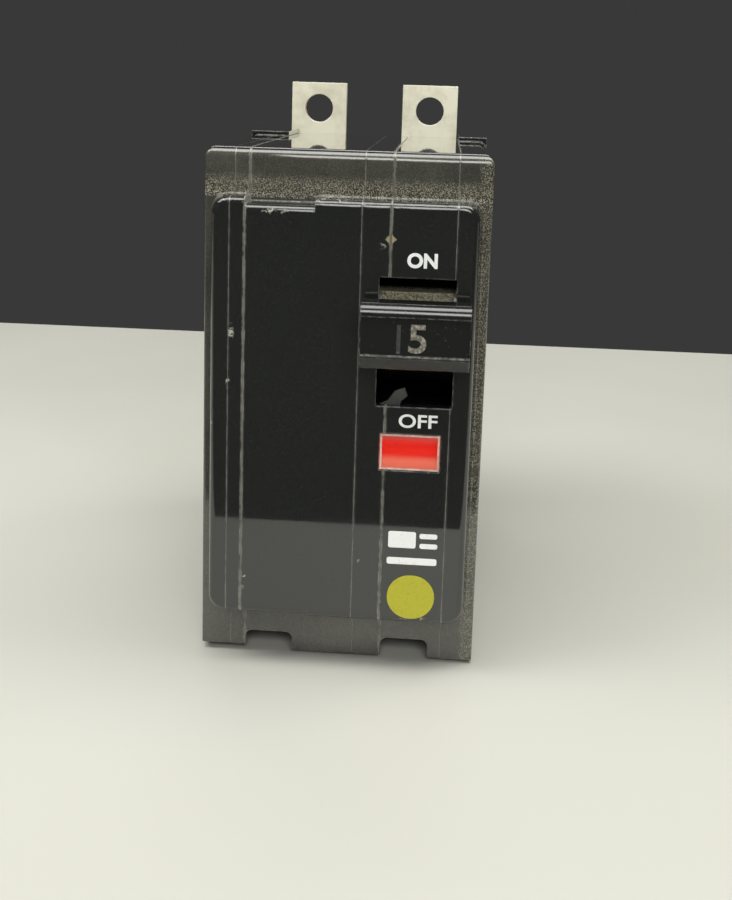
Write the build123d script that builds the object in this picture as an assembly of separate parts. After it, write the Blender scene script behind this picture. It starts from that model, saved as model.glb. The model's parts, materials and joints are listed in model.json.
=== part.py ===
from build123d import *
import math
import os

# Two-pole bolt-on moulded-case circuit breaker, millimetres.
# X runs across the poles, Y from the face to the back, Z from the load end up to the line end.
# Each piece is modelled with Y = 0 on the shoulder face and is shifted once, when it is written.

# Overall sizes
pole_pitch = 19.05            # centre to centre of the poles, and of the strap holes
case_height = 70.3            # front lip to the line-end face
case_depth = 63.3             # shoulder face to the back
front_lift = 0.5              # the front lip stands this much above the rear feet
wall = 1.8                    # outer walls, front, roof, floor and back
side_wall = 1.6               # thin walls to the left and right
web = 1.6                     # wall between the poles

case_width = 2 * pole_pitch
half_width = case_width / 2
top = front_lift + case_height
pole_centres = (-pole_pitch / 2, pole_pitch / 2)

# The three mouldings, as distances from the left side
cover_thickness = 6.1
right_case_thickness = 13.0
seam_left = -half_width + cover_thickness
seam_right = half_width - right_case_thickness
seam_groove = 0.24            # width and depth of the line where two mouldings meet
mould_line = 0.1              # width and depth of the fine lines left by the mould
mould_lines_from_left = (4.1, 21.3, 33.6)

# Roof, step and rear foot
roof_step = 4.0               # the roof drops by this much behind the straps' front faces
pad_depth = 38.0              # low pads at the roof's sides start here
pad_rise = 0.7
lip_length = 12.0             # the raised front part of the underside
cover_lift = 0.5              # the left cover's lip is this much higher again
foot_height = 16.0            # solid block at the rear of the load end
foot_length = 8.0
rail_slot_height = 4.6
rail_slot_depth = 5.5
rail_slot_floor = 4.0
shoulder_fillet = 1.4
side_fillet = 0.4

# Raised nose on the face
nose_height = 4.3
nose_inset = 1.8              # flange left at each side, at the nose's front
nose_draft_sides = 0.7        # the base is this much wider at each side
nose_draft_ends = 0.1         # and this much taller at each end
nose_wall = 1.6
nose_below_top = 6.2
nose_above_lip = 7.0
nose_corner = 2.2
nose_edge = 0.9
nose_step_from_left = 15.2    # the outline steps here, above and below
nose_step_top = 0.9
nose_step_bottom = 0.25

# Handle, its slot and its trunnions
slot_width = 10.0
slot_height = 17.1
slot_offset = 0.225           # slot's centre from the right pole's centre
slot_below_top = 15.95
pivot_depth = 8.0             # handle axis behind the shoulder face
pivot_below_top = 22.65
bar_width = 13.9
bar_height = 8.6
bar_thickness = 4.5
bar_ridge = 1.6               # height of the rounded ridge along the top
bar_groove = 0.3              # depth of the flat below the ridge
bar_lower = 2.25              # the flat ends this much below the middle
bar_bevel = 1.9               # the face leans back by this much at the bottom
ridge_radius = 1.4
bar_back_radius = 0.4
handle_reach = 6.5            # the crossbar's front, in front of the nose
neck_thickness = 6.0
root_thickness = 9.2          # the neck is thicker behind the nose's wall
root_depth = -2.4             # the thick part's front face
slot_play = 0.3               # each side of the neck
drum_radius = 9.4
drum_overlap = 0.6            # the drum closes the slot by this much at each side
shaft_radius = 2.4
running_clearance = 0.05
handle_throw = 14.0           # degrees from tripped to on, and to off
arm_ratio = -0.35             # contact arm against the handle

# Contact arm and contacts
seat_radius = 2.0
seat_offset = 6.4             # arm seat behind the handle axis
seat_clearance = 0.06
arm_width = 3.2
arm_depth = 4.2
contact_size = 4.4
contact_thickness = 1.2
contact_gap = 0.12            # left between the contacts when closed
contact_from_end = 2.8        # contact's middle from the arm's end
contact_ahead = 8.3           # contact's middle in front of the strap

# Line straps
strap_width = 9.4
strap_thickness = 1.4
strap_from_back = 12.0        # front of the strap to the back of the case
strap_rise = 8.7              # above the line-end face
strap_hole_radius = 2.38
strap_hole_from_end = 4.35
strap_foot = 13.0
strap_corner = 0.15
strap_clearance = 0.1

# Load terminal
terminal_tilt = 20.0          # degrees, screw axis above the horizontal
terminal_depth = 25.0
terminal_height = 11.5
pocket_width = 10.4
pocket_length = 33.0
pocket_height = 16.0
pocket_shelf = 1.5
notch_width = 6.6
notch_height = 2.65
notch_corner = 1.0
screw_radius = 2.2
screw_head_radius = 3.0
screw_head = 2.2
screw_back = 8.4              # head's outer face in front of the terminal plate
screw_tip = 2.2
plate_thickness = 1.2
strip_thickness = 1.4
strip_width = 5.0
terminal_plate = 1.6

# Trip unit
trip_axis_ahead = 7.8         # trip bar's axis in front of the strap
trip_axis_below = 12.5        # and below the handle axis
trip_bar_size = 3.2
armature_thickness = 1.0
armature_length = 22.5        # below the trip bar's axis
latch_window = (-7.9, -4.3)   # heights from the trip bar's axis
bimetal_behind = 3.3          # bimetal's face behind the trip bar's axis
bimetal_below = 3.5           # bimetal's end below the trip bar's axis
lug_heights = (-9.5, -5.5)    # braid's lug, from the trip bar's axis
yoke_heights = (-19.5, -11.5)
calibration_radius = 1.5
calibration_height = 12.5
bimetal_thickness = 1.0
yoke_thickness = 1.2

# Cradle
cradle_depth = 20.0
cradle_below = 15.0           # below the handle axis
cradle_pin_radius = 1.5
cradle_thickness = 1.2
cradle_lane = 5.6             # cradle's inner face from the pole's centre
cradle_throw = 16.0           # degrees from latched to tripped

# Trip flag and its lens
window_width = 8.0
window_height = 5.0
window_offset = -0.075        # window's centre from the right pole's centre
window_below_top = 36.8
lens_flange = 0.8
lens_lip = 0.8
flag_clearance = 0.5          # behind the lens
flag_radius = 12.0
flag_thickness = 1.2
flag_pin_radius = 1.2
flag_spread = 15.0            # degrees each side of level
flag_overlap = 0.3            # the flag is wider than the window by this much at each side
flag_rib = 1.2                # rib between the flag and the handle slot
flag_rib_gap = 0.7
flag_rib_length = 16.0

# Rivets: depth and height of each axis
rivet_radius = 1.5
rivet_clearance = 0.05
rivet_head_radius = 2.6
rivet_head = 0.7
rivet_sink = 0.9
boss_radius = 3.0
rivet_places = ((6.0, top - 6.5), (30.0, top - 7.5), (case_depth - 7.3, 24.0), (24.0, 21.0))

# Places worked out from the sizes
pivot_height = top - pivot_below_top
slot_centre = pole_centres[1] + slot_offset
slot_top = top - slot_below_top
window_left = pole_centres[1] + window_offset - window_width / 2
window_mid = top - window_below_top - window_height / 2
nose_top = top - nose_below_top
nose_bottom = front_lift + nose_above_lip
overall_depth = handle_reach + nose_height + case_depth
shoulder_y = handle_reach + nose_height - overall_depth / 2
flag_depth = nose_wall - nose_height + lens_flange + flag_clearance + flag_radius
strap_depth = case_depth - strap_from_back
roof_length = strap_depth - strap_clearance
trip_axis_depth = strap_depth - trip_axis_ahead
trip_axis_height = pivot_height - trip_axis_below
bimetal_depth = trip_axis_depth + bimetal_behind
bimetal_top = trip_axis_height - bimetal_below
cradle_height = pivot_height - cradle_below
web_left = -web / 2
web_right = web / 2
chamber_sides = ((-half_width + side_wall, web_left), (web_right, half_width - side_wall))


def block(x, y, z):
    """A box from its low and high limits along each axis."""
    size = (x[1] - x[0], y[1] - y[0], z[1] - z[0])
    return Pos((x[0] + x[1]) / 2, (y[0] + y[1]) / 2, (z[0] + z[1]) / 2) * Box(*size)


def rod(depth, height, radius, x):
    """A round bar along X."""
    length = x[1] - x[0]
    return Pos((x[0] + x[1]) / 2, depth, height) * Rot(0, 90, 0) * Cylinder(radius, length)


def slab(points, x):
    """A side-view outline of (depth, height) points, given its width along X."""
    face = make_face(Polyline(*points, close=True))
    return extrude(Plane.YZ.offset(x[0]) * face, amount=x[1] - x[0])


def turned(shape, depth, height, degrees):
    """The shape turned about an X axis; positive lifts what is in front of the axis."""
    return shape.rotate(Axis((0, depth, height), (-1, 0, 0)), degrees)


def one(shape):
    """A single solid from a union."""
    solids = shape.solids()
    return solids[0] if len(solids) == 1 else Compound(list(solids))


# ---------------------------------------------------------------- moulded case


def case_silhouette(inset=0.0):
    """Side view of the case without the nose."""
    back = case_depth - inset
    low_roof = top - roof_step - inset
    return [
        (inset, front_lift + inset),
        (inset, top - inset),
        (roof_length - inset, top - inset),
        (roof_length - inset, low_roof),
        (back, low_roof),
        (back, inset),
        (lip_length + inset, inset),
        (lip_length + inset, front_lift + inset),
    ]


def nose_panel(x, z, outer=None):
    """One width of the raised panel; its side at the case's edge has draft and round corners."""
    inner = [place for place in x if place != outer]
    outlines = []
    for sides, ends in ((nose_draft_sides, nose_draft_ends), (0, 0)):
        left = x[0] - sides if outer == x[0] else x[0]
        right = x[1] + sides if outer == x[1] else x[1]
        low = z[0] - ends
        high = z[1] + ends
        outline = make_face(Polyline((left, low), (left, high), (right, high), (right, low), close=True))
        if outer is not None:
            corners = outline.vertices().sort_by(Axis.X)
            corners = corners[:2] if outer == x[0] else corners[-2:]
            outline = fillet(corners, nose_corner)
        outlines.append(outline)
    panel = loft([Plane.XZ * outlines[0], Plane.XZ.offset(nose_height) * outlines[1]], ruled=True)
    rim = panel.faces().sort_by(Axis.Y)[0].edges()
    rim = [edge for edge in rim if all(abs(edge.center().X - place) > 0.01 for place in inner)]
    return fillet(rim, nose_edge)


def nose():
    """Raised panel on the face, in three widths that end at different heights."""
    left = -half_width + nose_inset
    step = -half_width + nose_step_from_left
    right = half_width - nose_inset
    low = nose_bottom + nose_step_bottom
    panel = nose_panel((left, seam_left), (low, nose_top), outer=left)
    panel += nose_panel((seam_left, step), (low, nose_top - nose_step_top))
    panel += nose_panel((step, right), (nose_bottom, nose_top), outer=right)
    return panel


def chamber(x):
    """Space inside one pole, above and behind the terminal pocket."""
    back = case_depth - wall
    low_roof = top - roof_step - wall
    shelf = pocket_height + pocket_shelf
    outline = [
        (wall, shelf),
        (wall, top - wall),
        (roof_length - wall, top - wall),
        (roof_length - wall, low_roof),
        (back, low_roof),
        (back, foot_height),
        (case_depth - foot_length, foot_height),
        (case_depth - foot_length, wall),
        (pocket_length + pocket_shelf, wall),
        (pocket_length + pocket_shelf, shelf),
    ]
    space = slab(outline, x)
    inner_side = nose_inset + nose_wall
    nose_x = (max(x[0], -half_width + inner_side), min(x[1], half_width - inner_side))
    step = max(nose_step_top, nose_step_bottom)
    nose_z = (max(nose_bottom + step + nose_wall, shelf), nose_top - step - nose_wall)
    return space + block(nose_x, (nose_wall - nose_height, wall + 1), nose_z)


def terminal_pocket(centre):
    """Wire space open at the load end, with the screwdriver notch in the front wall."""
    half = pocket_width / 2
    space = block((centre - half, centre + half), (wall, pocket_length), (-1, pocket_height))
    strip = strip_width / 2 + strap_clearance
    strip_z = (strip_floor() - strap_clearance, strip_floor() + strip_thickness + strap_clearance)
    return space + block((centre - strip, centre + strip), (pocket_length - 1, 40), strip_z)


def notch(centre):
    """Rounded notch in the bottom of the front wall."""
    left = centre - notch_width / 2
    right = centre + notch_width / 2
    high = front_lift + notch_height
    points = [(left, -1), (left, high), (right, high), (right, -1)]
    outline = make_face(Polyline(*points, close=True))
    outline = fillet(outline.vertices().sort_by(Axis.Y)[-2:], notch_corner)
    return extrude(Plane.XZ.offset(1) * outline, amount=-(wall + 2))


def seam_line(x, size):
    """Shallow groove round the case, of one width and depth."""
    outer = make_face(Polyline(*case_silhouette(), close=True))
    inner = make_face(Polyline(*case_silhouette(size), close=True))
    cut = extrude(Plane.YZ.offset(x - size / 2) * (outer - inner), amount=size)
    x_range = (x - size / 2, x + size / 2)
    front = block(x_range, (-nose_height - 1, size - nose_height), (nose_bottom, nose_top))
    keep = block((x - 1, x + 1), (-1, 1), (nose_bottom, nose_top))
    return (cut - keep) + front


def strip_floor():
    """Underside of the strip from the load terminal to the bimetal."""
    return terminal_height - 3.0


def trunnion(x, outward):
    """Boss and blind bore for the handle shaft, on a side wall."""
    boss_end = x + outward * 2.0
    span = (min(x, boss_end), max(x, boss_end))
    return rod(pivot_depth, pivot_height, shaft_radius + 1.6, span)


def case_solid():
    """All three mouldings as one piece, before they are parted."""
    body = slab(case_silhouette(), (-half_width, half_width))
    sides = body.edges().filter_by(Axis.Z).sort_by(Axis.Y)[:2]
    body = fillet(sides, side_fillet)
    front_top = [e for e in body.edges() if e.center().Z > top - 0.01 and e.center().Y < 0.5]
    body = fillet(max(front_top, key=lambda e: e.length), shoulder_fillet)
    body += nose()
    pad_right = mould_lines_from_left[-1] - half_width
    for x in ((-half_width, seam_left), (pad_right, half_width)):
        body += block(x, (pad_depth, roof_length), (top - 1, top + pad_rise))
    for x in chamber_sides:
        body -= chamber(x)
    for depth, height in rivet_places:
        body += rod(depth, height, boss_radius, (-half_width + side_fillet, half_width - side_fillet))
    for centre in pole_centres:
        body -= terminal_pocket(centre)
        strap = strap_width / 2 + strap_clearance
        strap_y = (strap_depth - strap_clearance, strap_depth + strap_thickness + strap_clearance)
        body -= block((centre - strap, centre + strap), strap_y, (top - roof_step - wall - 1, top))
        body -= calibration_bore(centre)
        body -= notch(centre)
    lift = (front_lift - 1, front_lift + cover_lift)
    body -= block((-half_width - 1, seam_left), (-1, lip_length), lift)
    body += trunnion(-half_width + side_wall, 1)
    body += trunnion(half_width - side_wall, -1)
    bore = (-half_width + side_wall, half_width - side_wall)
    body -= rod(pivot_depth, pivot_height, shaft_radius + running_clearance, bore)
    trip_bore = (-half_width + side_wall - 0.6, half_width - side_wall + 0.6)
    body -= rod(trip_axis_depth, trip_axis_height, trip_bar_size / 2 + running_clearance, trip_bore)
    body -= handle_slot()
    body -= lens_opening()
    body += flag_shelf()
    body -= rail_slot()
    for depth, height in rivet_places:
        body -= rivet_hole(depth, height)
    for x in (seam_left, seam_right):
        body -= seam_line(x, seam_groove)
    for from_left in mould_lines_from_left:
        body -= seam_line(from_left - half_width, mould_line)
    return body


def handle_slot():
    """Slot in the nose for the handle's neck."""
    x = (slot_centre - slot_width / 2, slot_centre + slot_width / 2)
    return block(x, (-nose_height - 1, nose_wall), (slot_top - slot_height, slot_top))


def lens_opening():
    """Window through the nose's front wall."""
    x = (window_left, window_left + window_width)
    z = (window_mid - window_height / 2, window_mid + window_height / 2)
    return block(x, (-nose_height - 1, nose_wall - nose_height + 1), z)


def flag_shelf():
    """Rib that parts the flag's space from the handle slot."""
    low = window_mid + flag_radius * math.sin(math.radians(flag_spread)) + flag_rib_gap
    inner = nose_wall - nose_height
    return block((web_right, half_width - side_wall), (inner, inner + flag_rib_length), (low, low + flag_rib))


def rail_slot():
    """Groove across the back that hooks on the panel's mounting rail."""
    z = (rail_slot_floor, rail_slot_floor + rail_slot_height)
    return block((-half_width - 1, half_width + 1), (case_depth - rail_slot_depth, case_depth + 1), z)


def calibration_bore(centre):
    """Bore in the rear foot for the calibration screw."""
    front = case_depth - foot_length
    hole = Cylinder(calibration_radius + rivet_clearance, foot_length + 2)
    return Pos(centre, front + foot_length / 2, calibration_height) * Rot(90, 0, 0) * hole


def rivet_hole(depth, height):
    """Through hole with a sunk seat for a head at each side."""
    hole = rod(depth, height, rivet_radius + rivet_clearance, (-half_width - 1, half_width + 1))
    for x in ((-half_width - 1, -half_width + rivet_sink), (half_width - rivet_sink, half_width + 1)):
        hole += rod(depth, height, rivet_head_radius + 0.3, x)
    return hole


def case_nodes():
    """The case parted at its two seams."""
    body = case_solid()
    reach = 200
    spans = {
        "left_cover": (-half_width - 1, seam_left),
        "centre_case": (seam_left, seam_right),
        "right_case": (seam_right, half_width + 1),
    }
    return {name: one(body & block(x, (-reach, reach), (-reach, reach))) for name, x in spans.items()}


def case_rivets():
    """Rivets that hold the mouldings together."""
    rivets = []
    for depth, height in rivet_places:
        low = -half_width + rivet_sink
        high = half_width - rivet_sink
        rivet = rod(depth, height, rivet_radius, (low, high))
        rivet += rod(depth, height, rivet_head_radius, (low - rivet_head, low))
        rivet += rod(depth, height, rivet_head_radius, (high, high + rivet_head))
        rivets.append(one(rivet))
    return Compound(rivets)


# ---------------------------------------------------------------- handle


def drum(centre, width):
    """Round hub with the seat for a contact arm at its back."""
    x = (centre - width / 2, centre + width / 2)
    hub = rod(pivot_depth, pivot_height, drum_radius, x)
    hub -= rod(pivot_depth, pivot_height, shaft_radius + 0.02, x)
    seat_x = (arm_centre(centre) - arm_width / 2 - 0.2, arm_centre(centre) + arm_width / 2 + 0.2)
    seat_y = pivot_depth + seat_offset
    hub -= rod(seat_y, pivot_height, seat_radius + seat_clearance, seat_x)
    mouth = seat_radius + seat_clearance
    flare = [
        (seat_y, pivot_height - mouth),
        (seat_y, pivot_height + mouth),
        (seat_y + 6, pivot_height + mouth + 3.2),
        (seat_y + 6, pivot_height - mouth - 1.2),
    ]
    return hub - slab(flare, seat_x)


def arm_centre(near):
    """Centre of the pole that is nearest to a place across the case."""
    return min(pole_centres, key=lambda centre: abs(centre - near))


def handle():
    """Crossbar, neck and drum in one moulding."""
    front = -nose_height - handle_reach
    back = front + bar_thickness
    half = bar_height / 2
    ridge = half - bar_ridge
    profile = [
        (front, half),
        (back, half),
        (back, -half),
        (front + bar_bevel, -half),
        (front, -bar_lower - bar_groove),
        (front, -bar_lower),
        (front + bar_groove, -bar_lower),
        (front + bar_groove, ridge),
        (front, ridge),
    ]
    centre = slot_centre
    bar_x = (centre - bar_width / 2, centre + bar_width / 2)
    bar = slab([(depth, pivot_height + height) for depth, height in profile], bar_x)
    top_edges = bar.edges().filter_by(Axis.X).sort_by(Axis.Z)[-2:].sort_by(Axis.Y)
    bar = fillet(top_edges[0], ridge_radius)
    bar = fillet(bar.edges().filter_by(Axis.X).group_by(Axis.Y)[-1], bar_back_radius)
    neck_half = slot_width / 2 - slot_play
    neck_x = (centre - neck_half, centre + neck_half)
    neck_z = (pivot_height - neck_thickness / 2, pivot_height + neck_thickness / 2)
    neck_back = pivot_depth - drum_radius + 1.5
    neck = block(neck_x, (back - 0.5, neck_back), neck_z)
    root_z = (pivot_height - root_thickness / 2, pivot_height + root_thickness / 2)
    root = block(neck_x, (root_depth, neck_back), root_z)
    return one(bar + neck + root + drum(centre, slot_width + 2 * drum_overlap))


def slave_crank():
    """Hub that drives the contact arm of the pole with no handle."""
    return one(drum(pole_centres[0], slot_width + 2 * drum_overlap))


def tie_shaft():
    """Shaft through both poles, carried in the side walls and the web."""
    end = side_wall + 0.1
    return rod(pivot_depth, pivot_height, shaft_radius, (-half_width + end, half_width - end))


# ---------------------------------------------------------------- contacts


def closed_pivot():
    """Where the arm's seat is when the handle is on."""
    angle = math.radians(handle_throw)
    depth = pivot_depth + seat_offset * math.cos(angle)
    height = pivot_height - seat_offset * math.sin(angle)
    return depth, height


def contact_level():
    """Height at which the two contacts meet."""
    return closed_pivot()[1] - arm_depth / 2 - contact_thickness


def to_tripped(shape):
    """Carry a piece of the arm from its closed place to its tripped place."""
    shape = turned(shape, pivot_depth, pivot_height, -handle_throw)
    return turned(shape, pivot_depth + seat_offset, pivot_height, -arm_ratio * handle_throw)


def contact_arm(centre):
    """Copper arm from the handle's seat to the moving contact."""
    depth, height = closed_pivot()
    arm_length = strap_depth - contact_ahead + contact_from_end - depth
    thin = arm_depth * 0.36
    thick = arm_depth / 2
    outline = [
        (0, -thin),
        (4, -thin),
        (18, -thick),
        (arm_length, -thick),
        (arm_length + 1.2, -thick + 1.4),
        (arm_length + 1.2, thick - 0.8),
        (arm_length, thick),
        (18, thick),
        (4, thin),
        (0, thin),
    ]
    x = (centre - arm_width / 2, centre + arm_width / 2)
    arm = slab([(depth + along, height + up) for along, up in outline], x)
    return to_tripped(one(arm + rod(depth, height, seat_radius, x)))


def contact_button(centre, z):
    """Square contact with its place along the arm."""
    depth = strap_depth - contact_ahead
    half = contact_size / 2
    return block((centre - half, centre + half), (depth - half, depth + half), z)


def moving_contact(centre):
    level = contact_level()
    return to_tripped(contact_button(centre, (level, level + contact_thickness)))


def fixed_contact(centre):
    level = contact_level() - contact_gap
    return contact_button(centre, (level - contact_thickness, level))


def line_strap(centre):
    """Bolt-on strap: hole above the case, foot under the fixed contact."""
    x = (centre - strap_width / 2, centre + strap_width / 2)
    foot_top = contact_level() - contact_gap - contact_thickness
    back = strap_depth + strap_thickness
    upright = block(x, (strap_depth, back), (foot_top - strap_thickness, top + strap_rise))
    ends = upright.edges().filter_by(Axis.Y).sort_by(Axis.Z)[-2:]
    upright = fillet(ends, strap_corner)
    foot = block(x, (strap_depth - strap_foot, strap_depth), (foot_top - strap_thickness, foot_top))
    hole = Cylinder(strap_hole_radius, 10)
    hole = Pos(centre, strap_depth, top + strap_rise - strap_hole_from_end) * Rot(90, 0, 0) * hole
    return one(upright + foot - hole)


def arc_plates(centre):
    """Steel plates that split the arc, each with a slot for the arm."""
    back = strap_depth - 0.8
    plates = []
    for level in range(4):
        low = contact_level() + 4.6 + level * 4.0
        plate = block((centre - 6, centre + 6), (back - 10, back), (low, low + 1))
        plate -= block((centre - 3.1, centre + 3.1), (back - 11, back - 2.2), (low - 1, low + 2))
        plates.append(one(plate))
    return Compound(plates)


def arc_chute(centre):
    """Fibre sides that hold the arc plates."""
    back = strap_depth - 0.5
    low = contact_level() + 2.0
    sides = []
    for side in (-1, 1):
        inner = centre + side * 6.05
        outer = centre + side * 6.85
        x = (min(inner, outer), max(inner, outer))
        sides.append(block(x, (back - 10.8, back), (low, low + 17)))
    return Compound(sides)


# ---------------------------------------------------------------- trip unit


def cradle(centre):
    """Trip lever, drawn latched and turned up to its tripped place."""
    outline = [
        (-2.8, 1.6),
        (-1.0, 3.0),
        (2.6, 3.4),
        (13.0, 1.2),
        (20.2, -2.8),
        (20.2, -4.8),
        (13.0, -3.4),
        (2.0, -2.8),
        (-2.0, -2.2),
    ]
    x = (centre + cradle_lane, centre + cradle_lane + cradle_thickness)
    plate = slab([(cradle_depth + along, cradle_height + up) for along, up in outline], x)
    plate -= rod(cradle_depth, cradle_height, cradle_pin_radius + running_clearance, x)
    return one(turned(plate, cradle_depth, cradle_height, -cradle_throw))


def cradle_pin(pole):
    return rod(cradle_depth, cradle_height, cradle_pin_radius, chamber_sides[pole])


def main_spring(centre):
    """Extension spring between the arm and the cradle."""
    start = (pivot_depth + 19, pivot_height + 0.7)
    end = (pivot_depth + 25, pivot_height - 12.5)
    length = math.dist(start, end)
    lean = math.degrees(math.atan2(start[0] - end[0], start[1] - end[1]))
    coil = Helix(pitch=1.15, height=length, radius=1.25)
    wire = sweep(Plane(origin=coil @ 0, z_dir=coil % 0) * Circle(0.36), path=coil)
    return Pos(centre + 3.6, end[0], end[1]) * Rot(-lean, 0, 0) * wire


def trip_bar():
    """Common bar: square in the poles, round in the web and at its ends."""
    low = -half_width + side_wall - 0.5
    high = half_width - side_wall + 0.5
    bar = rod(trip_axis_depth, trip_axis_height, trip_bar_size / 2, (low, high))
    half = trip_bar_size / 2
    for x in chamber_sides:
        y = (trip_axis_depth - half, trip_axis_depth + half)
        z = (trip_axis_height - half, trip_axis_height + half)
        bar += block((x[0] + 0.4, x[1] - 0.4), y, z)
    return one(bar)


def armature(centre):
    """Steel flap on the trip bar, with the window that latches the cradle."""
    back = trip_axis_depth - trip_bar_size / 2
    y = (back - armature_thickness, back)
    plate_z = (trip_axis_height - armature_length, trip_axis_height - 1.0)
    plate = block((centre - 3.5, centre + 7.5), y, plate_z)
    window_z = [trip_axis_height + rise for rise in latch_window]
    window = block((centre + cradle_lane - 0.6, centre + 8), (back - 2, back + 1), window_z)
    return one(plate - window)


def bimetal(centre):
    """Bimetal strip with a side lug for the braid."""
    y = (bimetal_depth, bimetal_depth + bimetal_thickness)
    strip = block((centre - 2.5, centre + 2.5), y, (strip_floor() + strip_thickness, bimetal_top))
    return one(strip + block((centre - 4.4, centre), y, [trip_axis_height + rise for rise in lug_heights]))


def magnet_yoke(centre):
    """U-shaped yoke round the bimetal."""
    front = trip_axis_depth + 1.4
    back = front + 6.2
    z = [trip_axis_height + rise for rise in yoke_heights]
    outer = block((centre - 5, centre + 5), (front, back), z)
    inner_x = (centre - 5 + yoke_thickness, centre + 5 - yoke_thickness)
    inner = block(inner_x, (front - 1, back - yoke_thickness), (z[0] - 1, z[1] + 1))
    return one(outer - inner)


def braid(centre):
    """Flexible braid from the bimetal up to the contact arm."""
    x = centre - 5.4
    low = trip_axis_height - 7.5
    points = [
        (x, pivot_depth + 22, pivot_height + 1.5),
        (x, pivot_depth + 21.5, pivot_height - 8.5),
        (x, bimetal_depth - 10.8, low + 2.5),
        (x, bimetal_depth - 0.2, low),
    ]
    path = FilletPolyline(*points, radius=4.0)
    return sweep(Plane(origin=path @ 0, z_dir=path % 0) * Circle(0.85), path=path)


def calibration_screw(centre):
    """Factory-set screw in the rear foot, behind the bimetal's foot."""
    start = bimetal_depth + bimetal_thickness + strip_thickness + 0.1
    end = case_depth - 3.0
    screw = Pos(centre, (start + end) / 2, calibration_height) * Rot(90, 0, 0)
    screw = screw * Cylinder(calibration_radius, end - start)
    slot_z = (calibration_height - 0.3, calibration_height + 0.3)
    slot = block((centre - 2, centre + 2), (end - 0.8, end + 1), slot_z)
    return one(screw - slot)


# ---------------------------------------------------------------- load terminal


def terminal_place(centre):
    """Local frame on the terminal plate: local Z runs along the screw, into the breaker."""
    tilt = math.radians(terminal_tilt)
    inward = (0, math.cos(tilt), math.sin(tilt))
    return Plane(origin=(centre, terminal_depth, terminal_height), x_dir=(1, 0, 0), z_dir=inward)


def local_box(place, x, y, z):
    """A box from limits in the terminal's frame; local Y points down towards the wire entry."""
    return place * block(x, y, z)


def load_terminal(centre):
    """Clamping plate, strip to the rear and upturned end for the bimetal."""
    place = terminal_place(centre)
    plate = local_box(place, (-4.2, 4.2), (-3.5, 4.5), (0, terminal_plate))
    plate -= place * Cylinder(screw_radius + running_clearance, 20)
    end = bimetal_depth + bimetal_thickness + strip_thickness
    low = strip_floor()
    x = (centre - strip_width / 2, centre + strip_width / 2)
    strip = block(x, (terminal_depth + 1.9, end), (low, low + strip_thickness))
    upturn = block(x, (end - strip_thickness, end), (low, low + 7))
    return one(plate + strip + upturn)


def terminal_screw(centre):
    """Slotted binding-head screw."""
    place = terminal_place(centre)
    shank = screw_back + screw_tip - screw_head
    screw = place * Pos(0, 0, screw_tip - shank / 2) * Cylinder(screw_radius, shank)
    head = place * Pos(0, 0, screw_head / 2 - screw_back) * Cylinder(screw_head_radius, screw_head)
    slot = local_box(place, (-4, 4), (-0.45, 0.45), (-screw_back - 1, -screw_back + 1.0))
    return one(screw + head - slot)


def pressure_plate(centre):
    """Plate under the screw's head."""
    place = terminal_place(centre)
    start = screw_head - screw_back
    plate = local_box(place, (-4.2, 4.2), (-3.2, 3.2), (start, start + plate_thickness))
    return one(plate - place * Cylinder(screw_radius + running_clearance, 40))


# ---------------------------------------------------------------- trip flag


def flag_lens():
    """Clear window with a flange behind the nose's wall."""
    gap = 0.05
    x = (window_left + gap, window_left + window_width - gap)
    z = (window_mid - window_height / 2 + gap, window_mid + window_height / 2 - gap)
    inner = nose_wall - nose_height
    plug = block(x, (0.15 - nose_height, inner), z)
    flange_x = (x[0] - lens_lip, x[1] + lens_lip)
    flange = block(flange_x, (inner, inner + lens_flange), (z[0] - lens_lip, z[1] + lens_lip))
    return one(plug + flange)


def trip_flag():
    """Coloured sector that stands behind the lens when the breaker has tripped."""
    x = (window_left - flag_overlap, window_left + window_width + flag_overlap)
    place = (flag_depth, window_mid)
    sector = rod(*place, flag_radius, x) - rod(*place, flag_radius - flag_thickness, x)
    reach = flag_radius + 1
    rise = reach * math.tan(math.radians(flag_spread))
    wedge = slab([place, (flag_depth - reach, window_mid - rise), (flag_depth - reach, window_mid + rise)], x)
    spoke = block(x, (flag_depth - flag_radius + 0.5, flag_depth), (window_mid - 0.8, window_mid + 0.8))
    hub_radius = flag_pin_radius + 1.2
    flag = (sector & wedge) + spoke + rod(*place, hub_radius, x)
    return one(flag - rod(*place, flag_pin_radius + running_clearance, (x[0] - 1, x[1] + 1)))


def flag_pin():
    return rod(flag_depth, window_mid, flag_pin_radius, chamber_sides[1])


def pole_nodes(pole):
    """Every piece that each pole has."""
    centre = pole_centres[pole]
    return {
        "line_strap": line_strap(centre),
        "fixed_contact": fixed_contact(centre),
        "moving_contact": moving_contact(centre),
        "contact_arm": contact_arm(centre),
        "arc_plates": arc_plates(centre),
        "arc_chute": arc_chute(centre),
        "cradle": cradle(centre),
        "cradle_pin": cradle_pin(pole),
        "main_spring": main_spring(centre),
        "armature": armature(centre),
        "bimetal": bimetal(centre),
        "magnet_yoke": magnet_yoke(centre),
        "braid": braid(centre),
        "calibration_screw": calibration_screw(centre),
        "load_terminal": load_terminal(centre),
        "terminal_screw": terminal_screw(centre),
        "pressure_plate": pressure_plate(centre),
    }


def all_nodes():
    nodes = case_nodes()
    nodes["case_rivets"] = case_rivets()
    nodes["handle"] = handle()
    nodes["slave_crank"] = slave_crank()
    nodes["tie_shaft"] = tie_shaft()
    nodes["common_trip_bar"] = trip_bar()
    nodes["flag_lens"] = flag_lens()
    nodes["trip_flag"] = trip_flag()
    nodes["flag_pin"] = flag_pin()
    for pole in (0, 1):
        for name, shape in pole_nodes(pole).items():
            nodes[f"pole_{pole + 1}_{name}"] = shape
    return nodes


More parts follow.
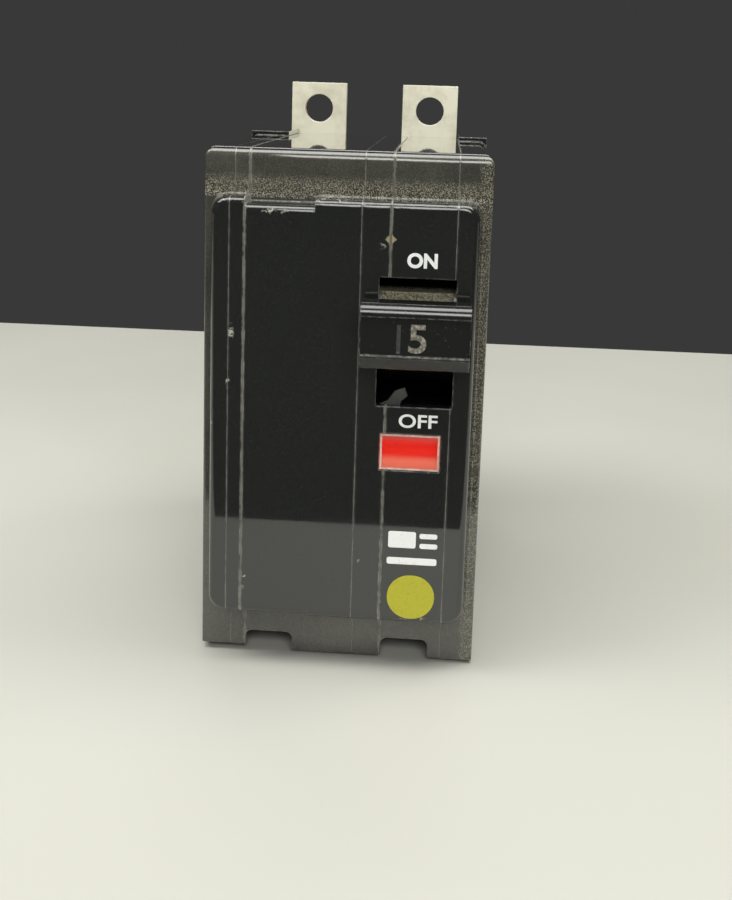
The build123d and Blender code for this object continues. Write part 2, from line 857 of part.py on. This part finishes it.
os.makedirs("parts", exist_ok=True)
for name, shape in all_nodes().items():
    export_step(Pos(0, shoulder_y, 0) * shape, f"parts/{name}.step")
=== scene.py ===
import json
import math

import bpy
from mathutils import Matrix, Vector


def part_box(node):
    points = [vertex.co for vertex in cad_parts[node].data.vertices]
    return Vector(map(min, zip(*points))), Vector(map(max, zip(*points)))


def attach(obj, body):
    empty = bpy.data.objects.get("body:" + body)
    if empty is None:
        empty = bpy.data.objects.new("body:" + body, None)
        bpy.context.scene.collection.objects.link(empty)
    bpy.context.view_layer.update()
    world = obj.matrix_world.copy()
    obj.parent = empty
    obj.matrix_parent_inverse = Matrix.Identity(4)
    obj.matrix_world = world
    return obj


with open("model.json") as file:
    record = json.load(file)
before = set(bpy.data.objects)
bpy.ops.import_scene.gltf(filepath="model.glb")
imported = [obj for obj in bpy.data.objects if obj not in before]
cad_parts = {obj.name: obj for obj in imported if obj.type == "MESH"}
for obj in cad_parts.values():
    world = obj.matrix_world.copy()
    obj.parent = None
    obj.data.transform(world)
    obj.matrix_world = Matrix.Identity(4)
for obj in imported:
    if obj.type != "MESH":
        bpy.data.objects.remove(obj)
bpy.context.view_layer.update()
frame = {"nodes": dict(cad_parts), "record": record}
print("frame loaded:", len(frame["nodes"]), "nodes")

mm = 0.001
lowCase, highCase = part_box("centre_case")
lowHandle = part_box("handle")[0]
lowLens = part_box("flag_lens")[0]
caseTop = highCase.z
noseFront = lowCase.y
noseHeight = 4.3 * mm
shoulder = noseFront + noseHeight
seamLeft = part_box("left_cover")[1].x
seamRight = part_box("right_case")[0].x
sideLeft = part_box("left_cover")[0].x
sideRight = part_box("right_case")[1].x
handleAxis = (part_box("tie_shaft")[0].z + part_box("tie_shaft")[1].z) / 2


class Wire:
    def __init__(self, tree, socket=None):
        self.tree = tree
        self.socket = socket

    def add(self, kind, inputs=None, out=0, **settings):
        # any node: settings first, then values and links by socket name or number
        node = self.tree.nodes.new("ShaderNode" + kind)
        for name, value in settings.items():
            setattr(node, name, value)
        for key, value in (inputs or {}).items():
            if isinstance(value, Wire):
                self.tree.links.new(value.socket, node.inputs[key])
            else:
                node.inputs[key].default_value = value
        return Wire(self.tree, node.outputs[out])

    def math(self, operation, a, b=0.0, clamp=False):
        return self.add("Math", {0: a, 1: b}, operation=operation, use_clamp=clamp)

    def __add__(self, other):
        return self.math("ADD", self, other)

    def __radd__(self, other):
        return self.math("ADD", other, self)

    def __sub__(self, other):
        return self.math("SUBTRACT", self, other)

    def __rsub__(self, other):
        return self.math("SUBTRACT", other, self)

    def __mul__(self, other):
        return self.math("MULTIPLY", self, other)

    def __rmul__(self, other):
        return self.math("MULTIPLY", other, self)

    def __truediv__(self, other):
        return self.math("DIVIDE", self, other)

    def __abs__(self):
        return self.math("ABSOLUTE", self)

    def clamp(self):
        return self.math("ADD", self, 0.0, clamp=True)

    def most(self, other):
        return self.math("MAXIMUM", self, other)

    def rise(self, low, high):
        # 0 below low, 1 above high, smooth between
        ends = {"Value": self, "From Min": low, "From Max": high}
        return self.add("MapRange", ends, interpolation_type="SMOOTHSTEP")

    def fall(self, low, high):
        return 1 - self.rise(low, high)

    def band(self, centre, half, soft):
        # 1 within half of the centre, fading over soft
        return abs(self - centre).fall(half, half + soft)

    def mix(self, a, b):
        # this value chooses between two colours
        return self.add("Mix", {0: self, 6: a, 7: b}, out=2, data_type="RGBA")

    def noise(self, scale, detail=2.0, stretch=(1, 1, 1), rough=0.5):
        # noise on object coordinates, scale in features per metre
        place = self.add("TexCoord", out="Object")
        place = self.add("VectorMath", {0: place, 1: stretch}, operation="MULTIPLY")
        inputs = {"Vector": place, "Scale": scale, "Detail": detail, "Roughness": rough}
        return self.add("TexNoise", inputs, out=0)

    def place(self):
        # object coordinates as three values
        coordinates = self.add("TexCoord", out="Object")
        return [self.add("SeparateXYZ", {0: coordinates}, out=axis) for axis in "XYZ"]

    def bump(self, height, strength, distance, normal=None):
        inputs = {"Height": height, "Strength": strength, "Distance": distance}
        if normal:
            inputs["Normal"] = normal
        return self.add("Bump", inputs)

    def edges(self, radius, samples=4):
        # rounded normal, and how far it leans from the flat one
        rounded = self.add("Bevel", {"Radius": radius}, samples=samples)
        flat = self.add("NewGeometry", out="True Normal")
        dot = self.add("VectorMath", {0: rounded, 1: flat}, out="Value", operation="DOT_PRODUCT")
        return rounded, (1 - dot).clamp()


def newMaterial(name, values):
    # a principled material; values are constants on its own sockets
    material = bpy.data.materials.new(name)
    material.use_nodes = True
    tree = material.node_tree
    tree.nodes.clear()
    output = tree.nodes.new("ShaderNodeOutputMaterial")
    shader = tree.nodes.new("ShaderNodeBsdfPrincipled")
    tree.links.new(shader.outputs[0], output.inputs[0])
    for key, value in values.items():
        shader.inputs[key].default_value = value
    return material, Wire(tree), shader


def feed(shader, wires):
    for key, wire in wires.items():
        wire.tree.links.new(wire.socket, shader.inputs[key])


moulding = {
    "black": (0.0115, 0.0130, 0.0122, 1.0),
    "speck": (0.036, 0.038, 0.035, 1.0),
    "wear": (0.52, 0.51, 0.46, 1.0),
    "dust": (0.46, 0.42, 0.29, 1.0),
    "haze": (0.095, 0.095, 0.083, 1.0),
    "noseTop": caseTop - 6.2 * mm,
    "chip": (0.36, 0.32, 0.20, 1.0),
    "chipHeight": caseTop - 11.0 * mm,
    "seamWidth": 0.16 * mm,
    "lineWidth": 0.07 * mm,
    "mouldLines": (4.1 * mm, 21.3 * mm, 33.6 * mm),   # from the left side
    "edge": 0.35 * mm,
    "flange": 2.4 * mm,              # dusty strip down the right side
    "dustReach": 3.6 * mm,           # how far dust climbs above the nose
    "chipWidth": 0.75 * mm,
    "chipRise": 0.95 * mm,
}


def seamWear(x, chips):
    # pale chipped lines where the mouldings meet, thin ones along the mould lines
    wide = moulding["seamWidth"]
    thin = moulding["lineWidth"]
    mask = None
    for centre in (seamLeft, seamRight):
        line = abs(x - centre) - chips * (2.2 * wide)
        line = line.fall(0.2 * wide, wide)
        mask = line if mask is None else mask.most(line)
    for fromLeft in moulding["mouldLines"]:
        line = abs(x - (sideLeft + fromLeft)) - chips * thin
        mask = mask.most(line.fall(0.2 * thin, thin) * 0.6)
    return mask


# rubbed places on the face, in mm: centre x, centre z, half width, half height
rubbedPlaces = (
    (-14.6, 46.5, 0.5, 1.9), (-14.9, 40.0, 0.35, 1.2), (-17.4, 33.8, 0.5, 1.2),
    (-9.0, 62.9, 2.2, 0.5), (-2.0, 64.6, 2.5, 0.35), (4.9, 59.4, 0.9, 1.0),
    (3.4, 16.2, 0.6, 1.4), (-12.4, 12.2, 0.5, 1.6), (10.6, 8.2, 2.0, 0.4),
)


def scuffs(x, z, chips):
    total = None
    for centreX, centreZ, halfX, halfZ in rubbedPlaces:
        across = (x - centreX * mm) / (halfX * mm)
        up = (z - centreZ * mm) / (halfZ * mm)
        spot = (across * across + up * up).fall(0.1, 1.0)
        total = spot if total is None else total.most(spot)
    return (total * chips.rise(0.52, 0.60)).clamp()


def caseMaterial():
    fixed = {"IOR": 1.58, "Coat Weight": 0.7, "Coat Roughness": 0.03, "Coat IOR": 1.5}
    material, w, shader = newMaterial("mouldedCase", fixed)
    x, y, z = w.place()
    rounded, edge = w.edges(moulding["edge"])
    fine = w.noise(5200, 3, rough=0.7)
    chips = w.noise(900, 4, rough=0.7)
    patches = w.noise(120, 3)
    color = (fine.rise(0.45, 0.75) * 0.8).mix(moulding["black"], moulding["speck"])

    # fine dust lies on the shoulder, thick just above the nose and on the right flange
    onShoulder = y.band(shoulder, 0.25 * mm, 0.3 * mm)
    noseTop = moulding["noseTop"]
    nearNose = z.rise(noseTop - 0.6 * mm, noseTop)
    nearNose = nearNose * z.fall(noseTop + 0.6 * mm, noseTop + moulding["dustReach"])
    flange = x.rise(sideRight - moulding["flange"], sideRight - 1.2 * mm) * 0.7
    grain = w.noise(6200, 2, rough=0.8).rise(0.50, 0.58)
    film = onShoulder * (patches.rise(0.30, 0.70) * 0.35 + 0.25)
    color = film.mix(color, moulding["haze"])
    dust = onShoulder * nearNose.most(flange).most(0.12) * grain
    color = (dust * 0.75).clamp().mix(color, moulding["dust"])

    # worn edges, seams and scuffs
    worn = edge.rise(0.04, 0.30) * (chips.rise(0.42, 0.56) * 0.8 + 0.1)
    front = y.fall(shoulder + 0.2 * mm, shoulder + 1.2 * mm)
    topFace = z.rise(caseTop - 0.6 * mm, caseTop - 0.2 * mm)
    topFace = topFace * z.fall(caseTop + 0.05 * mm, caseTop + 0.15 * mm)
    seam = seamWear(x, chips - 0.42) * front.most(topFace)
    rubbed = scuffs(x, z, chips) * front
    chipX = abs(x - seamRight) / moulding["chipWidth"]
    chipZ = abs(z - moulding["chipHeight"]) / moulding["chipRise"]
    chip = (chipX + chipZ + (chips - 0.5) * 1.2).fall(0.75, 1.0) * front
    ledge = z.band(noseTop, 0.25 * mm, 0.25 * mm)
    ledge = ledge * y.band(shoulder - 0.8 * mm, 0.8 * mm, 0.4 * mm) * grain
    pale = (worn * 0.8).most(seam * 0.8).most(rubbed * 0.8).most(ledge * 0.45).clamp()
    color = pale.mix(color, moulding["wear"])
    color = (chip * 0.85).clamp().mix(color, moulding["chip"])

    scratch = w.noise(700, 2, stretch=(6, 1, 0.35)).rise(0.62, 0.70) * 0.06
    smear = w.noise(60, 3).rise(0.35, 0.75) * 0.10
    rough = (scratch * 0.6 + smear * 0.5 + 0.03 + dust * 0.55 + (pale + chip) * 0.4).clamp()
    height = w.noise(1500, 2) * 0.4 + chips * pale * 2.0
    bump = w.bump(height, 0.15, 0.02 * mm, rounded)
    feed(shader, {"Base Color": color, "Roughness": rough, "Normal": bump})
    return material


def handleMaterial():
    fixed = {"IOR": 1.56, "Coat Weight": 0.5, "Coat Roughness": 0.05}
    material, w, shader = newMaterial("mouldedHandle", fixed)
    y, z = w.place()[1:]
    rounded, edge = w.edges(0.30 * mm)
    fine = w.noise(2400, 3)
    chips = w.noise(1100, 4, rough=0.7)
    color = fine.rise(0.64, 0.74).mix(moulding["black"], moulding["speck"])
    root = y.band(shoulder - 2.0 * mm, 1.6 * mm, 0.5 * mm)
    root = root * z.band(handleAxis, 5.2 * mm, 0.4 * mm)
    grit = w.noise(4200, 3, rough=0.85).rise(0.40, 0.60)
    dusty = root * (grit * 0.75 + 0.2)
    color = dusty.mix(color, moulding["dust"])
    worn = edge.rise(0.06, 0.35) * chips.rise(0.46, 0.60)
    color = (worn * 0.7).mix(color, moulding["wear"])
    smear = w.noise(160, 3).rise(0.35, 0.75) * 0.12
    rough = (smear + 0.10 + dusty * 0.5 + worn * 0.3).clamp()
    bump = w.bump(w.noise(900, 3), 0.2, 0.04 * mm, rounded)
    feed(shader, {"Base Color": color, "Roughness": rough, "Normal": bump})
    return material


def metalMaterial(name, color, stain, rough, stretch, grainScale, metallic):
    material, w, shader = newMaterial(name, {"IOR": 1.5, "Metallic": metallic})
    rounded, edge = w.edges(0.15 * mm)
    brushed = w.noise(grainScale, 3, stretch=stretch, rough=0.7)
    patches = w.noise(260, 4, rough=0.6)
    tone = patches.rise(0.40, 0.68).mix(color, stain)
    bright = tuple(min(1.0, c * 1.18) for c in color[:3]) + (1.0,)
    tone = (edge.rise(0.05, 0.3) * 0.7).mix(tone, bright)
    pits = w.noise(2200, 3, rough=0.8).rise(0.66, 0.74)
    tone = (pits * 0.5).mix(tone, tuple(c * 0.35 for c in stain[:3]) + (1.0,))
    roughness = (brushed * 0.22 + patches * 0.15 + (rough - 0.18)).clamp()
    height = brushed * 0.8 + patches * 0.4 - pits * 0.5
    bump = w.bump(height, 0.3, 0.04 * mm, rounded)
    feed(shader, {"Base Color": tone, "Roughness": roughness, "Normal": bump})
    return material


def plainMoulding(name, color, shade, rough):
    # unfilled plastics and fibre inside the case
    material, w, shader = newMaterial(name, {"IOR": 1.48})
    rounded = w.edges(0.2 * mm)[0]
    mottled = w.noise(700, 4, rough=0.7)
    tone = mottled.rise(0.35, 0.7).mix(color, shade)
    roughness = (mottled * 0.2 + rough).clamp()
    bump = w.bump(mottled, 0.25, 0.05 * mm, rounded)
    feed(shader, {"Base Color": tone, "Roughness": roughness, "Normal": bump})
    return material


def braidMaterial():
    # crossing strands wound round the cord
    material, w, shader = newMaterial("copperBraid", {"Metallic": 1.0})
    x, y, z = w.place()
    strandA = w.math("SINE", (z + y * 0.6 + x * 1.5) * 9000)
    strandB = w.math("SINE", (z - y * 0.6 - x * 1.5) * 9000)
    weave = (strandA.most(strandB) * 0.5 + 0.5).clamp()
    color = weave.mix((0.25, 0.10, 0.05, 1.0), (0.80, 0.43, 0.27, 1.0))
    bump = w.bump(weave, 0.8, 0.1 * mm)
    feed(shader, {"Base Color": color, "Roughness": 0.55 - weave * 0.2, "Normal": bump})
    return material


flagLook = {
    "red": (0.90, 0.020, 0.008, 1.0),
    "deep": (0.55, 0.006, 0.004, 1.0),
    "paintedTopSheen": (0.55, 0.16, 0.14, 1.0),
    "paintedLowHighlight": (1.0, 0.26, 0.17, 1.0),
    "reach": 11.7 * mm,           # from the pin to just inside the outer arc
    "paintedGlow": 0.66,
}


def flagMaterial():
    # translucent red; its outer face carries a painted glow, with a painted dull sheen along the
    # top and a painted pale highlight along the bottom
    fixed = {"IOR": 1.48, "Emission Strength": flagLook["paintedGlow"]}
    material, w, shader = newMaterial("flagRed", fixed)
    y, z = w.place()[1:]
    middle = (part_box("flag_pin")[0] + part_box("flag_pin")[1]) / 2
    away = y - middle.y
    up = z - middle.z
    reach = flagLook["reach"]
    outer = (away * away + up * up).rise((reach - 0.1 * mm) ** 2, reach ** 2)
    streaks = w.noise(420, 3, stretch=(0.12, 1, 3.0)).rise(0.35, 0.65)
    tone = (streaks * 0.6).mix(flagLook["red"], flagLook["deep"])
    # painted sheen: the tone turns dull pink along the top, and a painted pale highlight runs
    # along the bottom
    tone = (up.rise(0.5 * mm, 2.1 * mm) * 0.85).mix(tone, flagLook["paintedTopSheen"])
    tone = (up.fall(-2.0 * mm, -0.7 * mm) * 0.8).mix(tone, flagLook["paintedLowHighlight"])
    # painted glow: the outer face emits the flag's tone though the flag is no lamp
    light = outer.mix((0, 0, 0, 1), tone)
    mottled = w.noise(700, 4, rough=0.7)
    bump = w.bump(mottled, 0.2, 0.04 * mm)
    feed(shader, {"Base Color": tone, "Emission Color": light, "Normal": bump})
    feed(shader, {"Roughness": mottled * 0.2 + 0.3})
    return material


def lensMaterial():
    fixed = {"Base Color": (1.0, 0.93, 0.91, 1.0), "Transmission Weight": 1.0, "IOR": 1.46}
    material, w, shader = newMaterial("clearWindow", fixed)
    haze = w.noise(900, 3).rise(0.4, 0.75) * 0.12 + 0.04
    bump = w.bump(w.noise(500, 2), 0.15, 0.04 * mm)
    feed(shader, {"Roughness": haze, "Normal": bump})
    return material


def paintMaterial(name, color, worn, wornAmount, rough=0.45):
    # thin printed ink, rubbed through in places
    material, w, shader = newMaterial(name, {"IOR": 1.5})
    rub = w.noise(1900, 4, rough=0.75)
    low = 0.62 - 0.3 * wornAmount
    color = (rub.rise(low, low + 0.14) * wornAmount).clamp().mix(color, worn)
    bump = w.bump(rub, 0.3, 0.03 * mm)
    feed(shader, {"Base Color": color, "Roughness": rub * 0.2 + rough, "Normal": bump})
    return material


# colour, stain, roughness, stretch of the grain, grain per metre, metallic
metals = {
    "tinPlate": ((0.95, 0.93, 0.76, 1), (0.78, 0.74, 0.58, 1), 0.52, (1, 1, 0.15), 1600, 0.35),
    "zincSteel": ((0.56, 0.56, 0.53, 1), (0.40, 0.39, 0.35, 1), 0.40, (0.2, 1, 1), 1500, 1.0),
    "bareCopper": ((0.80, 0.43, 0.27, 1), (0.45, 0.20, 0.12, 1), 0.40, (1, 0.2, 1), 1500, 1.0),
    "silverContact": ((0.85, 0.84, 0.80, 1), (0.45, 0.42, 0.38, 1), 0.45, (1, 1, 1), 1900, 1.0),
    "springWire": ((0.34, 0.34, 0.35, 1), (0.20, 0.19, 0.19, 1), 0.35, (1, 1, 1), 1800, 1.0),
    "bimetalStrip": ((0.62, 0.58, 0.50, 1), (0.46, 0.38, 0.26, 1), 0.38, (1, 1, 0.15), 1700, 1.0),
}


def nodeMaterials():
    metal = {name: metalMaterial(name, *values) for name, values in metals.items()}
    fibre = plainMoulding("fibre", (0.36, 0.22, 0.13, 1), (0.24, 0.14, 0.08, 1), 0.55)
    nylon = plainMoulding("nylon", (0.70, 0.67, 0.57, 1), (0.60, 0.56, 0.46, 1), 0.35)
    return {
        "case_black": caseMaterial(),
        "handle_black": handleMaterial(),
        "rivet_steel": metal["zincSteel"],
        "tinned_copper": metal["tinPlate"],
        "copper": metal["bareCopper"],
        "silver_contact": metal["silverContact"],
        "plated_steel": metal["zincSteel"],
        "spring_steel": metal["springWire"],
        "bimetal": metal["bimetalStrip"],
        "vulcanised_fibre": fibre,
        "trip_bar_plastic": nylon,
        "flag_red": flagMaterial(),
        "clear_lens": lensMaterial(),
        "braid": braidMaterial(),
    }


def paintNodes():
    materials = nodeMaterials()
    for part in frame["record"]["subparts"]:
        slot = "braid" if part["node"].endswith("braid") else part["material_slot"]
        data = frame["nodes"][part["node"]].data
        data.materials.clear()
        data.materials.append(materials[slot])


paintNodes()
print("CAD nodes finished")


marks = {
    "ink": 0.04 * mm,                    # thickness of the print
    # plain strokes and a disc, in mm: centre x, centre z, width, height
    "strokes": (
        (8.88, 19.4, 3.7, 2.3), (12.4, 20.0, 2.4, 0.7),
        (12.45, 18.6, 2.4, 0.7), (10.26, 16.4, 6.7, 0.95),
    ),
    "spot": (10.3, 11.3, 6.4, 6.2),
    "on": {"text": "ON", "x": 10.2, "z": 57.2, "height": 2.0, "squeeze": 0.98, "bold": 0.04},
    "off": {"text": "OFF", "x": 10.42, "z": 35.85, "height": 1.85, "squeeze": 1.18, "bold": 0.018},
    "one": {"text": "1", "x": 7.69, "z": 48.1, "height": 3.7, "squeeze": 0.95, "bold": 0.0},
    "five": {"text": "5", "x": 10.06, "z": 48.2, "height": 3.7, "squeeze": 1.05, "bold": 0.02},
}


def lettering(name, spec, front, material, body):
    # a word on a plane that faces the viewer, turned into a thin solid
    bpy.ops.object.select_all(action="DESELECT")
    bpy.ops.object.text_add(location=(0, 0, 0))
    word = bpy.context.object
    word.name = name
    word.data.body = spec["text"]
    word.data.align_x = "CENTER"
    word.data.align_y = "CENTER"
    word.data.offset = spec["bold"]
    word.data.extrude = 0.02
    word.data.resolution_u = 6
    bpy.ops.object.convert(target="MESH")
    word = bpy.context.object
    lows = Vector(tuple(min(v.co[i] for v in word.data.vertices) for i in range(3)))
    highs = Vector(tuple(max(v.co[i] for v in word.data.vertices) for i in range(3)))
    scale = spec["height"] * mm / (highs.y - lows.y)
    middle = (lows + highs) / 2
    ink = marks["ink"]
    for vertex in word.data.vertices:
        local = vertex.co - middle
        depth = -ink if local.z > 0 else ink * 0.2
        across = local.x * scale * spec["squeeze"]
        vertex.co = (spec["x"] * mm + across, front + depth, spec["z"] * mm + local.y * scale)
    word.data.materials.clear()
    word.data.materials.append(material)
    bpy.ops.object.mode_set(mode="EDIT")
    bpy.ops.mesh.select_all(action="SELECT")
    bpy.ops.mesh.normals_make_consistent(inside=False)
    bpy.ops.object.mode_set(mode="OBJECT")
    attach(word, body)


def frontFace(name):
    # an empty start for a thin piece that faces forward
    bpy.ops.object.select_all(action="DESELECT")
    bpy.ops.mesh.primitive_plane_add(size=1, location=(0, 0, 0))
    piece = bpy.context.object
    piece.name = name
    return piece


def thicken(piece, amount):
    bpy.ops.object.mode_set(mode="EDIT")
    bpy.ops.mesh.select_all(action="SELECT")
    bpy.ops.mesh.extrude_region_move(TRANSFORM_OT_translate={"value": (0, amount, 0)})
    bpy.ops.mesh.select_all(action="SELECT")
    bpy.ops.mesh.normals_make_consistent(inside=False)
    bpy.ops.object.mode_set(mode="OBJECT")


def printedBar(name, x, z, width, height, front, material, radius):
    # a thin printed shape with rounded corners
    bar = frontFace(name)
    ink = marks["ink"]
    depth = front + ink * 0.2
    for vertex in bar.data.vertices:
        vertex.co = ((x + vertex.co.x * width) * mm, depth, (z + vertex.co.y * height) * mm)
    bpy.ops.object.mode_set(mode="EDIT")
    bpy.ops.mesh.select_all(action="SELECT")
    bpy.ops.mesh.bevel(offset=radius * mm, segments=8, affect="VERTICES")
    bpy.ops.object.mode_set(mode="OBJECT")
    thicken(bar, -ink * 1.2)
    bar.data.materials.append(material)
    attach(bar, "case")


def addMarks():
    white = paintMaterial("whiteInk", (0.93, 0.95, 0.95, 1), (0.25, 0.25, 0.24, 1), 0.25)
    dusty = paintMaterial("dustyInk", (0.40, 0.38, 0.30, 1), (0.05, 0.05, 0.045, 1), 0.8)
    yellow = paintMaterial("yellowInk", (0.50, 0.48, 0.03, 1), (0.2, 0.19, 0.02, 1), 0.3)
    lettering("mark_on", marks["on"], noseFront, white, "case")
    lettering("mark_off", marks["off"], noseFront, white, "case")
    handleFace = lowHandle.y + 0.25 * mm
    faint = paintMaterial("faintInk", (0.10, 0.105, 0.105, 1), (0.03, 0.03, 0.03, 1), 0.9)
    lettering("mark_rating_1", marks["one"], handleFace, faint, "handle")
    lettering("mark_rating_5", marks["five"], handleFace, dusty, "handle")
    for index, (x, z, width, height) in enumerate(marks["strokes"]):
        printedBar(f"print_stroke_{index}", x, z, width, height, noseFront, white, 0.28)
    x, z, width, height = marks["spot"]
    printedBar("print_spot", x, z, width, height, noseFront, yellow, 3.05)


addMarks()
print("marks printed")


rim = {"width": 0.26 * mm, "gap": 0.03 * mm, "proud": 0.06 * mm, "thick": 0.12 * mm}
flake = {
    "depth": 1.0 * mm,            # behind the nose's face
    "thick": 0.35 * mm,
    "outline": (                  # x and z in mm
        (4.9, 37.6), (6.3, 38.3), (7.2, 39.6), (8.5, 40.1),
        (8.9, 39.0), (8.1, 38.3), (7.9, 37.6),
    ),
}


def addWindowRim():
    piece = frontFace("window_rim")
    bpy.ops.object.mode_set(mode="EDIT")
    bpy.ops.mesh.select_all(action="SELECT")
    bpy.ops.mesh.inset(thickness=0.1)
    bpy.ops.mesh.delete(type="FACE")
    bpy.ops.object.mode_set(mode="OBJECT")
    plug = frame["nodes"]["flag_lens"].data.vertices
    front = [vertex.co for vertex in plug if vertex.co.y < lowLens.y + 0.1 * mm]
    lowX, highX = min(v.x for v in front), max(v.x for v in front)
    lowZ, highZ = min(v.z for v in front), max(v.z for v in front)
    for vertex in piece.data.vertices:
        edge = rim["gap"] if max(abs(vertex.co.x), abs(vertex.co.y)) > 0.45 else rim["width"]
        x = lowX + edge if vertex.co.x < 0 else highX - edge
        z = lowZ + edge if vertex.co.y < 0 else highZ - edge
        vertex.co = (x, lowLens.y - rim["proud"], z)
    thicken(piece, rim["thick"])
    milky, w, shader = newMaterial("milkyRim", {"IOR": 1.49})
    haze = w.noise(1300, 3)
    color = haze.rise(0.4, 0.65).mix((0.62, 0.42, 0.37, 1), (0.80, 0.66, 0.58, 1))
    feed(shader, {"Base Color": color, "Roughness": haze * 0.2 + 0.3})
    piece.data.materials.append(milky)
    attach(piece, "case")


def addFlake(material):
    # a torn sliver of the wall that stands in the handle slot
    piece = frontFace("slot_flake")
    bpy.ops.object.mode_set(mode="EDIT")
    bpy.ops.mesh.select_all(action="SELECT")
    bpy.ops.mesh.bevel(offset=0.2, segments=1, affect="VERTICES")
    bpy.ops.object.mode_set(mode="OBJECT")
    around = sorted(piece.data.vertices, key=lambda v: math.atan2(v.co.y, v.co.x))
    points = flake["outline"]
    middleX = sum(x for x, z in points) / len(points)
    middleZ = sum(z for x, z in points) / len(points)
    points = sorted(points, key=lambda p: math.atan2(p[1] - middleZ, p[0] - middleX))
    for vertex, (x, z) in zip(around, points + points[-1:]):
        vertex.co = (x * mm, noseFront + flake["depth"], z * mm)
    bpy.ops.object.mode_set(mode="EDIT")
    bpy.ops.mesh.select_all(action="SELECT")
    bpy.ops.mesh.remove_doubles(threshold=0.01 * mm)
    bpy.ops.object.mode_set(mode="OBJECT")
    thicken(piece, flake["thick"])
    piece.data.materials.append(material)
    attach(piece, "case")


addWindowRim()
torn = plainMoulding("tornMoulding", (0.045, 0.047, 0.045, 1), (0.075, 0.078, 0.072, 1), 0.5)
addFlake(torn)
print("window rim and flake added")


view = {
    "place": (12.78 * mm, -183.38 * mm, 79.07 * mm),
    "turn": -0.0634,              # radians to the right
    "pitch": 0.1762,              # radians down
    "roll": 0.0302,
    "focal": 1.333111,            # in frame heights
    "shift": -1 / 6,
    "sensor": 36,
}


def addCamera():
    turn, pitch, roll = view["turn"], view["pitch"], view["roll"]
    level = math.cos(pitch)
    forward = Vector((math.sin(turn) * level, math.cos(turn) * level, -math.sin(pitch)))
    right = Vector((math.cos(turn), -math.sin(turn), 0))
    up = right.cross(forward)
    tiltedRight = right * math.cos(roll) + up * math.sin(roll)
    tiltedUp = up * math.cos(roll) - right * math.sin(roll)
    data = bpy.data.cameras.new("camera")
    data.sensor_width = view["sensor"]
    data.lens = view["sensor"] * view["focal"]
    data.shift_y = view["shift"]
    data.clip_start = 0.01
    data.clip_end = 20
    camera = bpy.data.objects.new("camera", data)
    bpy.context.scene.collection.objects.link(camera)
    axes = Matrix((tiltedRight, tiltedUp, -forward)).transposed().to_4x4()
    camera.matrix_world = Matrix.Translation(view["place"]) @ axes
    bpy.context.scene.camera = camera


# place, aim, size in metres, power in watts, colour
lights = {
    "key": ((-0.42, -0.16, 0.55), (0, 0, 0.03), (0.30, 0.30), 1.5, (1.0, 0.99, 0.95)),
    "strip": ((0.05, -0.10, 0.62), (0, 0, 0.05), (0.9, 0.30), 4.8, (1.0, 0.99, 0.93)),
    "front": ((0.12, -0.75, 0.48), (0, 0, 0.06), (0.5, 0.3), 3.2, (1.0, 0.99, 0.96)),
    "back": ((-0.05, 0.42, 0.55), (0, 0, 0.05), (0.5, 0.2), 0.9, (1.0, 0.98, 0.95)),
}


def areaLight(name, place, aim, size, power, color):
    data = bpy.data.lights.new(name, "AREA")
    data.shape = "RECTANGLE"
    data.size, data.size_y = size
    data.energy = power
    data.color = color
    light = bpy.data.objects.new(name, data)
    bpy.context.scene.collection.objects.link(light)
    direction = Vector(aim) - Vector(place)
    turned = direction.to_track_quat("-Z", "Y").to_matrix().to_4x4()
    light.matrix_world = Matrix.Translation(place) @ turned


def floorMaterial():
    material, w, shader = newMaterial("paleFloor", {"IOR": 1.45})
    soft = w.noise(6, 3)
    color = soft.rise(0.3, 0.7).mix((0.50, 0.50, 0.455, 1), (0.56, 0.56, 0.52, 1))
    feed(shader, {"Base Color": color, "Roughness": soft * 0.1 + 0.42})
    return material


def stagePlane(name, low, high, material):
    bpy.ops.object.select_all(action="DESELECT")
    bpy.ops.mesh.primitive_plane_add(size=1, location=(0, 0, 0))
    plane = bpy.context.object
    plane.name = name
    for vertex in plane.data.vertices:
        vertex.co = (
            low[0] if vertex.co.x < 0 else high[0],
            low[1] if vertex.co.y < 0 else high[1],
            low[2] if vertex.co.y < 0 else high[2],
        )
    plane.data.materials.append(material)
    return plane


def addStage():
    stagePlane("floor", (-0.9, -0.9, 0), (0.9, 0.19, 0), floorMaterial())
    matt = {"Base Color": (0.01, 0.01, 0.01, 1), "Roughness": 0.9}
    dark = newMaterial("darkReflectionCard", matt)[0]
    lift = 0.4 * mm                # just off the floor, seen only in reflections: it paints a dark reflection on the glossy nose
    card = stagePlane("front_reflection_card", (-0.8, -0.8, lift), (0.8, noseFront - 55 * mm, lift), dark)
    card.visible_camera = False
    card.visible_diffuse = False
    card.visible_shadow = False
    world = bpy.data.worlds.new("world")
    world.use_nodes = True
    background = world.node_tree.nodes["Background"]
    background.inputs[0].default_value = (0.040, 0.041, 0.040, 1)
    background.inputs[1].default_value = 1.0
    bpy.context.scene.world = world
    for name, values in lights.items():
        areaLight(name, *values)


addCamera()
addStage()
bpy.context.scene.view_settings.view_transform = "Standard"
print("camera and light set")
